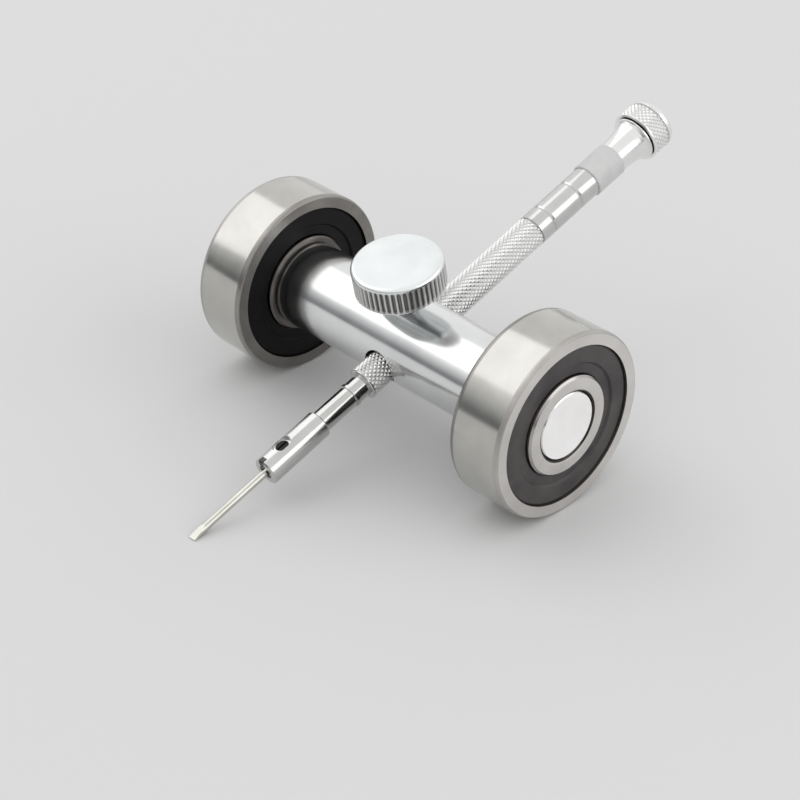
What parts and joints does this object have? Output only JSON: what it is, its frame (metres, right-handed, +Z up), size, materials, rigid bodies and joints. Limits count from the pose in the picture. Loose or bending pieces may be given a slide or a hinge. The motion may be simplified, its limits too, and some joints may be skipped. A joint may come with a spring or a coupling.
{
  "type": "screwdriver sharpening guide",
  "caption": "Rolling honing guide: a cross-drilled barrel on ball bearings holds a small precision screwdriver at one rake angle under a knurled clamp screw.",
  "frame": {"origin": "centre of the bounding box, on the plane that the two bearings and the blade tip rest on", "axes": "+X along the axle towards the right bearing, +Y towards the screwdriver handle with the blade at -Y, +Z up, square to the stone"},
  "size_m": [0.0484, 0.0744, 0.027],
  "materials": {
    "barrel_steel": "turned and polished stainless steel, mirror-bright",
    "inner_ring_steel": "hardened bearing steel, finely ground",
    "outer_ring_steel": "hardened bearing steel, ground bright",
    "ball_steel": "lapped bearing steel",
    "cage_steel": "pressed mild steel strip",
    "seal_rubber": "moulded nitrile rubber over a steel insert, satin",
    "stud_steel": "turned steel with a rolled thread",
    "knob_plated": "knurled brass, nickel-plated",
    "blade_steel": "hardened tool steel, ground",
    "screw_black": "blackened steel",
    "chuck_plated": "turned brass, nickel-plated",
    "handle_bright": "diamond-knurled and turned aluminium tube, bright",
    "sleeve_plastic": "grey plastic, matt",
    "neck_bright": "turned and polished aluminium",
    "cap_bright": "turned aluminium with a fine diamond knurl"
  },
  "bodies": {
    "guide_barrel": {"barrel": "barrel_steel", "left_inner_ring": "inner_ring_steel", "right_inner_ring": "inner_ring_steel"},
    "left_wheel": {"left_outer_ring": "outer_ring_steel", "left_seal_inboard": "seal_rubber", "left_seal_outboard": "seal_rubber"},
    "right_wheel": {"right_outer_ring": "outer_ring_steel", "right_seal_inboard": "seal_rubber", "right_seal_outboard": "seal_rubber"},
    "left_cage": {"left_balls": "ball_steel", "left_cage_inboard": "cage_steel", "left_cage_outboard": "cage_steel", "left_cage_rivets": "cage_steel"},
    "right_cage": {"right_balls": "ball_steel", "right_cage_inboard": "cage_steel", "right_cage_outboard": "cage_steel", "right_cage_rivets": "cage_steel"},
    "clamp_screw": {"clamp_stud": "stud_steel"},
    "clamp_head": {"clamp_knob": "knob_plated"},
    "screwdriver": {"blade": "blade_steel", "blade_screw": "screw_black", "chuck": "chuck_plated", "handle": "handle_bright", "size_sleeve": "sleeve_plastic", "neck": "neck_bright"},
    "cap": {"swivel_cap": "cap_bright", "cap_pin": "stud_steel"}
  },
  "joints": [
    {"name": "left_wheel_spin", "type": "hinge", "parent": "guide_barrel", "child": "left_wheel", "pos_m": [0, -0.00449, 0.011], "axis": [1, 0, 0], "continuous": true},
    {"name": "right_wheel_spin", "type": "hinge", "parent": "guide_barrel", "child": "right_wheel", "pos_m": [0, -0.00449, 0.011], "axis": [1, 0, 0], "continuous": true},
    {"name": "left_cage_spin", "type": "hinge", "parent": "guide_barrel", "child": "left_cage", "pos_m": [0, -0.00449, 0.011], "axis": [1, 0, 0], "continuous": true},
    {"name": "right_cage_spin", "type": "hinge", "parent": "guide_barrel", "child": "right_cage", "pos_m": [0, -0.00449, 0.011], "axis": [1, 0, 0], "continuous": true},
    {"name": "clamp_turn", "type": "hinge", "parent": "clamp_screw", "child": "clamp_head", "pos_m": [0, -0.00629, 0.02063], "axis": [0, -0.1837, 0.983], "range_deg": [0, 900]},
    {"name": "clamp_travel", "type": "slide", "parent": "guide_barrel", "child": "clamp_screw", "axis": [0, -0.1837, 0.983], "range_m": [0, 0.00125]},
    {"name": "driver_slide", "type": "slide", "parent": "guide_barrel", "child": "screwdriver", "axis": [0, 0.9506, 0.3104], "range_m": [-0.02, 0.007]},
    {"name": "cap_swivel", "type": "hinge", "parent": "screwdriver", "child": "cap", "pos_m": [0, 0.03474, 0.02357], "axis": [0, 0.9506, 0.3104], "continuous": true}
  ],
  "couplings": [
    {"joint": "left_cage_spin", "follows": "left_wheel_spin", "ratio": 0.6323},
    {"joint": "right_cage_spin", "follows": "right_wheel_spin", "ratio": 0.6323},
    {"joint": "clamp_turn", "follows": "clamp_travel", "rad_per_m": 12566}
  ]
}
